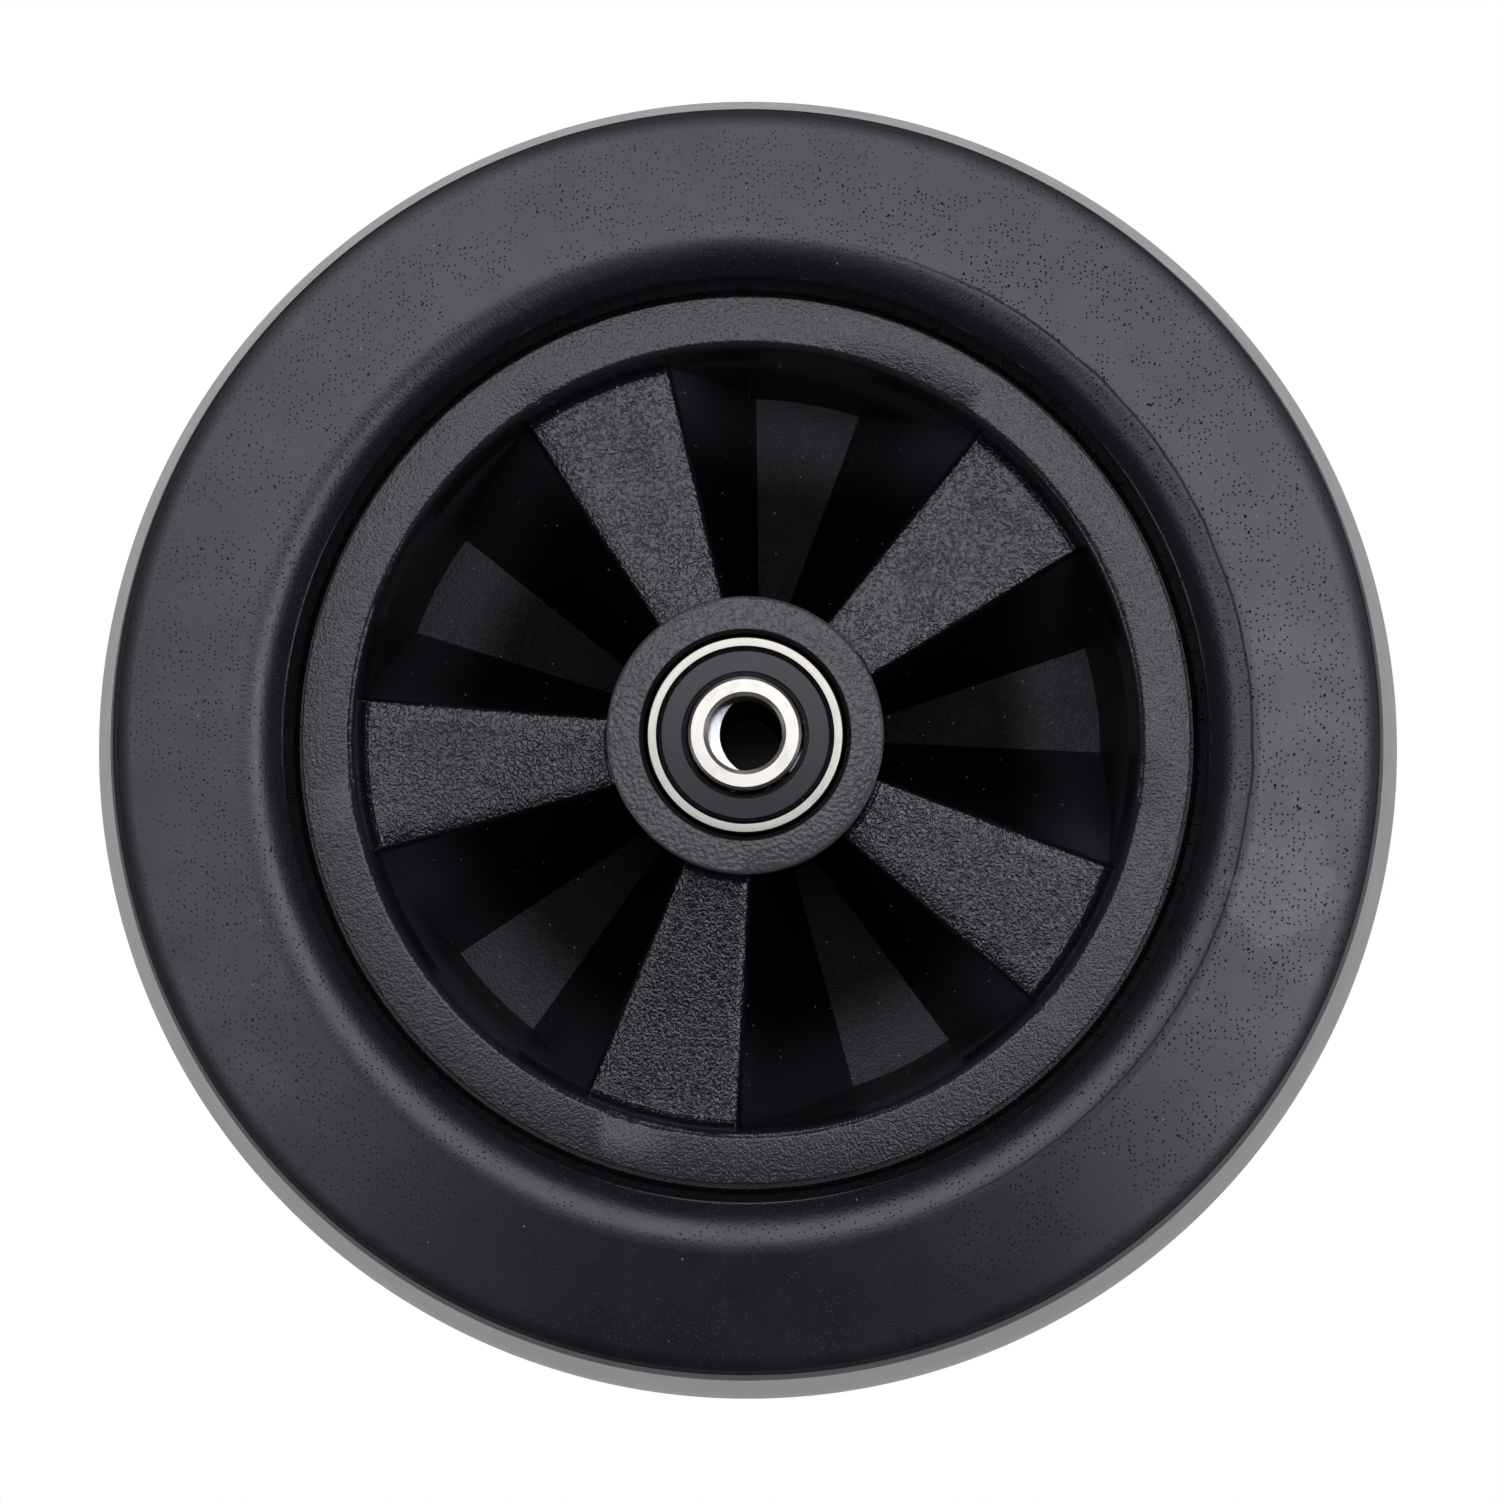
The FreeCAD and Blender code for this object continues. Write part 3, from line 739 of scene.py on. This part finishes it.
def ground_steel(name, colour, roughness):
    """Hardened bearing steel, ground: its colour and roughness waver a little with the grain."""
    material, shader = new_material(name, colour, roughness, metallic=1.0)
    place = place_on(material)
    radius = polar(material, place)[0]
    grain = noise(material, place, GROUND_GRAIN, detail=2.0)
    stains = noise(material, place, STAIN_SIZE, detail=2.0)
    satin = reckon(material, "MULTIPLY_ADD", grain, 0.12, roughness - 0.06)
    shade = reckon(material, "MULTIPLY", step(material, stains, 0.5, 0.7), 0.25)
    duller = tint(material, shade, linear(colour), linear(STAIN))
    level = level_of(material, place)
    # painted shade: the outer ring's rounded corner and the rings' parts deep in the bearing are painted
    # black
    corner_shade = reckon(material, "MULTIPLY", step(material, radius, FACE_EDGE - 0.03, FACE_EDGE + 0.05),
                   step(material, level, BEARING_BACK - 0.5, BEARING_BACK))
    inside = step(material, level, BEARING_BACK + 1.2, BEARING_BACK + 0.6)
    painted_shade = reckon(material, "MAXIMUM", corner_shade, inside)
    shown = tint(material, painted_shade, duller, linear(CORNER_SHADE_BLACK))
    relief(material, shader, reckon(material, "MULTIPLY", grain, 0.004))
    feed(material, shader, Base_Color=shown, Roughness=satin)
    return material


def faced_steel():
    """Zinc-plated steel tube whose end is faced: streaks in one direction across it. Its inside is painted
    near black as painted shade.
    """
    material, shader = new_material("faced_steel", "#e4e8ee", 0.3, metallic=1.0)
    place = place_on(material)
    along = add(material, "Mapping", {"Vector": place, "Rotation": (0, 0, STREAK_TURN),
                                      "Scale": (1 / SPACER_STREAK, 0.5, 0.5)}).outputs[0]
    streaks = noise(material, along, 1.0, detail=2.0)
    shade = reckon(material, "MULTIPLY", step(material, streaks, 0.45, 0.75), 0.5)
    colour = tint(material, shade, linear("#eef1f6"), linear("#8f949c"))
    # painted shade: the tube's inside, below the bearings' backs, is painted near black
    inside = step(material, level_of(material, place), BEARING_BACK - 0.3, BEARING_BACK - 0.5)
    colour = tint(material, inside, colour, linear("#0c0b0a"))
    relief(material, shader, reckon(material, "MULTIPLY", streaks, 0.01))
    feed(material, shader, Base_Color=colour)
    return material


def polished_steel():
    """Ball steel, lapped to a mirror."""
    material, shader = new_material("polished_steel", "#dad7d0", 0.08, metallic=1.0)
    place = place_on(material)
    satin = reckon(material, "MULTIPLY_ADD", noise(material, place, 1.0), 0.04, 0.05)
    feed(material, shader, Roughness=satin)
    return material


steel = ground_steel("ground_steel", "#b1ada3", 0.3)
# painted highlight: the inner rings take a lighter copy of the same ground steel, for the brighter light
# their faces mirror
lit_ring_steel = ground_steel("lit_copy_ground_steel", "#d3cfc4", 0.34)
ball_steel = polished_steel()
faced = faced_steel()
print("steels:", [each.name for each in (steel, lit_ring_steel, ball_steel, faced)])

# %% [markdown]
# ## Seal rubber and cage nylon
# The seals are nitrile rubber bonded on a steel washer, smooth and a little greasy, so they show a
# soft grey sheen with a few specks of dust. The cage inside is dark nylon and hardly ever seen, so
# a faint mottle is enough for it.

# %% Seal rubber and cage nylon
NITRILE = "#16161b"
SEAL_DUST = "#8c8c8c"
FINE_DUST = {"spacing": 3.0, "size": 0.14, "share": 0.4}
NYLON = "#2a2622"
NYLON_MOTTLE = "#37322c"


def seal_rubber():
    """Nitrile rubber, smooth from its mould, with a faint bloom and some dust."""
    material, shader = new_material("seal_rubber", NITRILE, 0.2, ior=1.45)
    place = place_on(material)
    clouds = noise(material, place, 3.5, detail=3.0)
    satin = reckon(material, "MULTIPLY_ADD", clouds, 0.08, 0.17)
    relief(material, shader, reckon(material, "MULTIPLY", noise(material, place, 0.3, detail=2.0), 0.002))
    dust = specks(material, place, **FINE_DUST)
    colour = tint(material, dust, linear(NITRILE), linear(SEAL_DUST))
    feed(material, shader, Base_Color=colour, Roughness=satin)
    return material


def cage_nylon():
    """Dark moulded nylon with a faint mottle."""
    material, shader = new_material("cage_nylon", NYLON, 0.45)
    mottle = noise(material, place_on(material), 0.8, detail=1.0)
    feed(material, shader, Base_Color=tint(material, mottle, linear(NYLON), linear(NYLON_MOTTLE)))
    return material


nitrile = seal_rubber()
nylon = cage_nylon()
print("inside the bearing:", nitrile.name, "and", nylon.name)

# %% [markdown]
# ## The frame's pieces in the bearings
# Rings, balls, cages, inner seals and the spacer tube are the frame's own solids, which are round
# enough as they are. The rings and the tube are shaded like the hub, with crisp edges.

# %% Dress the bearings
BALLS = 7

for side in ("front", "rear"):
    crisp(dress(nodes[side + "_outer_ring"], steel))
    # painted highlight: the inner rings get the lighter copy of the ground steel
    crisp(dress(nodes[side + "_inner_ring"], lit_ring_steel))
    dress(nodes[side + "_inner_seal"], nitrile)
    dress(nodes[side + "_cage"], nylon)
    for index in range(1, BALLS + 1):
        dress(nodes["%s_ball_%d" % (side, index)], ball_steel)
crisp(dress(nodes["spacer_tube"], faced))
print("balls dressed:", 2 * BALLS)

# %% [markdown]
# ## Outer seals
# Each outer seal is turned anew, because its top is finer than the plain washer of the frame: a
# bead between two grooves at the outside, where the rubber snaps into the ring, and a groove with
# a thin lip beside the inner ring. A bump in the shading would not catch the light at their edges.
# The corners are given as distances from the ring's mouth and from the lip.

# %% Outer seals
SEAL_THICKNESS = 0.6
SEAL_EDGE = 0.05
SEAL_GROOVE = 0.25
SEAL_TUCK = 0.25
BEAD_OUTER = 0.23
BEAD_DROP = 0.05
LIP_GAP = 0.3


def seal_section(top):
    """Section of a front outer seal whose plain top lies at a height."""
    mouth = SEAL_SEAT_RADIUS - SEAL_TUCK
    lip = SHOULDER_RADIUS + LIP_GAP
    low = top - SEAL_GROOVE
    return section([
        (SEAL_SEAT_RADIUS, top - SEAL_THICKNESS, SEAL_EDGE),
        (SEAL_SEAT_RADIUS, top, SEAL_EDGE),
        (mouth - 0.04, top, SEAL_EDGE / 2),
        (mouth - 0.08, low, SEAL_EDGE / 2),
        (mouth - 0.18, low, SEAL_EDGE / 2),
        (mouth - BEAD_OUTER, top - BEAD_DROP, SEAL_EDGE),
        (mouth - BEAD_OUTER - 0.13, top - BEAD_DROP, SEAL_EDGE),
        (mouth - BEAD_OUTER - 0.2, low, SEAL_EDGE / 2),
        (mouth - BEAD_OUTER - 0.3, low, SEAL_EDGE / 2),
        (mouth - BEAD_OUTER - 0.36, top, SEAL_EDGE),
        (lip + 0.52, top, SEAL_EDGE),
        (lip + 0.46, low, SEAL_EDGE),
        (lip + 0.28, low, SEAL_EDGE),
        (lip + 0.2, top - 0.1, SEAL_EDGE),
        (lip, top - 0.16, SEAL_EDGE),
        (lip, top - SEAL_THICKNESS, SEAL_EDGE),
    ])


for side, way in (("front", 1), ("rear", -1)):
    outline = seal_section(SEAL_LEVEL) * (1, way)
    piece = dress(turned(side + "_moulded_seal", outline), nitrile)
    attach(piece, "wheel")
    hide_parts(side + "_outer_seal")

# %% [markdown]
# ## Floor
# The photo stands on pure white. The floor is a white table top, and what the camera sees of it
# beyond the wheel is plain white light, while under the wheel it stays an ordinary surface that
# holds the shadow. The change between the two is a smooth step along the radius. The tread, seen
# at a grazing angle, mirrors the table top close beside it as a bright white card. The card ends a
# few centimetres out, so the rounded edge above the shoulder, which mirrors what lies farther off,
# stays dark. A lit white plane alone would come out grey and uneven.

# %% The floor
FLOOR_SIZE = 6.0
SHADOW_INSIDE = 0.055
SHADOW_OUTSIDE = 0.080
MIRRORED_SHARE = 0.62
CARD_INSIDE = 0.105
CARD_OUTSIDE = 0.135


def white_floor():
    """White painted table top that glows plain white for the camera beyond the wheel's edge."""
    material, shader = new_material("white_floor", "#f2f2f2", 0.6)
    tree = material.node_tree
    place = add(material, "TexCoord").outputs["Object"]
    radius = polar(material, place)[0]
    clear = step(material, radius, SHADOW_INSIDE, SHADOW_OUTSIDE)
    path = add(material, "LightPath").outputs
    card = reckon(material, "MULTIPLY", step(material, radius, CARD_OUTSIDE, CARD_INSIDE), MIRRORED_SHARE)
    mirrored_glow = reckon(material, "MULTIPLY", path["Is Glossy Ray"], card)
    seen = reckon(material, "MAXIMUM", path["Is Camera Ray"], mirrored_glow)
    seen = reckon(material, "MAXIMUM", seen, path["Is Transmission Ray"])
    share = reckon(material, "MULTIPLY", seen, clear)
    glow = add(material, "Emission", {"Color": (1, 1, 1, 1), "Strength": 1.0})
    mix = add(material, "MixShader", {0: share, 1: shader.outputs[0], 2: glow.outputs[0]})
    tree.links.new(mix.outputs[0], tree.nodes["Material Output"].inputs["Surface"])
    return material


floor_mesh = bpy.data.meshes.new("floor")
side = FLOOR_SIZE / 2
floor_level = -SLEEVE_LEVEL * MM
corners = [(-side, -side), (side, -side), (side, side), (-side, side)]
floor_mesh.from_pydata([(x, y, floor_level) for x, y in corners], [], [(0, 1, 2, 3)])
floor_mesh.materials.append(white_floor())
floor = bpy.data.objects.new("floor", floor_mesh)
bpy.context.scene.collection.objects.link(floor)
print("floor at %.1f mm" % (floor_level / MM))

# %% [markdown]
# ## World and lamps
# Black rubber and plastic show the room, so the lamps are laid out as what they mirror: a white
# ceiling that is bright above and behind the far side of the wheel and at both sides, with the dark
# shape of the camera and of the person who holds it over the near side. That dark shape is why the
# lower part of the tyre is nearly black. Three low panels stand for the walls of the room, which
# the tyre's rounded edges mirror. Each lamp's colour is a nearly neutral white, a little cool. The
# world behind them is a dark room, but plain white where the camera looks past the table.

# %% World and lamps
CEILING = 1.1
ROOM_TINT = "#f4f5ff"
DARK_ROOM = "#2a2a2e"
WALL_SIZE = (0.4, 0.3)
MIDDLE = (0, 0, 0)

world = bpy.data.worlds.new("room")
bpy.context.scene.world = world
world.use_nodes = True
background = world.node_tree.nodes["Background"]
to_lens = add(world, "LightPath").outputs["Is Camera Ray"]
sky = tint(world, to_lens, linear(DARK_ROOM), linear("#ffffff"))
world.node_tree.links.new(sky, background.inputs["Color"])


def panel(name, place, size, power, target):
    """A rectangular soft lamp that faces a point."""
    light = bpy.data.lights.new(name, "AREA")
    light.shape = "RECTANGLE"
    light.size, light.size_y = size
    light.energy = power
    light.color = linear(ROOM_TINT)[:3]
    lamp = bpy.data.objects.new(name, light)
    bpy.context.scene.collection.objects.link(lamp)
    lamp.location = place
    lamp.rotation_euler = (Vector(target) - Vector(place)).to_track_quat("-Z", "Y").to_euler()
    return lamp


def ceiling(name, x, y, size, power):
    """A bright part of the ceiling, facing straight down."""
    return panel(name, (x, y, CEILING), size, power, (x, y, 0))


ceiling("ceiling_far", 0.0, 0.30, (0.66, 0.28), 1.8)
ceiling("ceiling_right", 0.27, 0.02, (0.14, 0.44), 1.3)
ceiling("ceiling_left", -0.26, 0.02, (0.12, 0.44), 0.62)
ceiling("ceiling_middle", 0.0, 0.10, (0.36, 0.12), 0.45)
panel("wall_far", (0.0, 1.0, 0.46), WALL_SIZE, 1.7, MIDDLE)
panel("wall_right", (0.98, -0.17, 0.46), WALL_SIZE, 1.7, MIDDLE)
panel("wall_left", (-0.94, -0.34, 0.46), WALL_SIZE, 1.3, MIDDLE)
print("lamps: %d, %.1f W" % (len(bpy.data.lights), sum(light.energy for light in bpy.data.lights)))
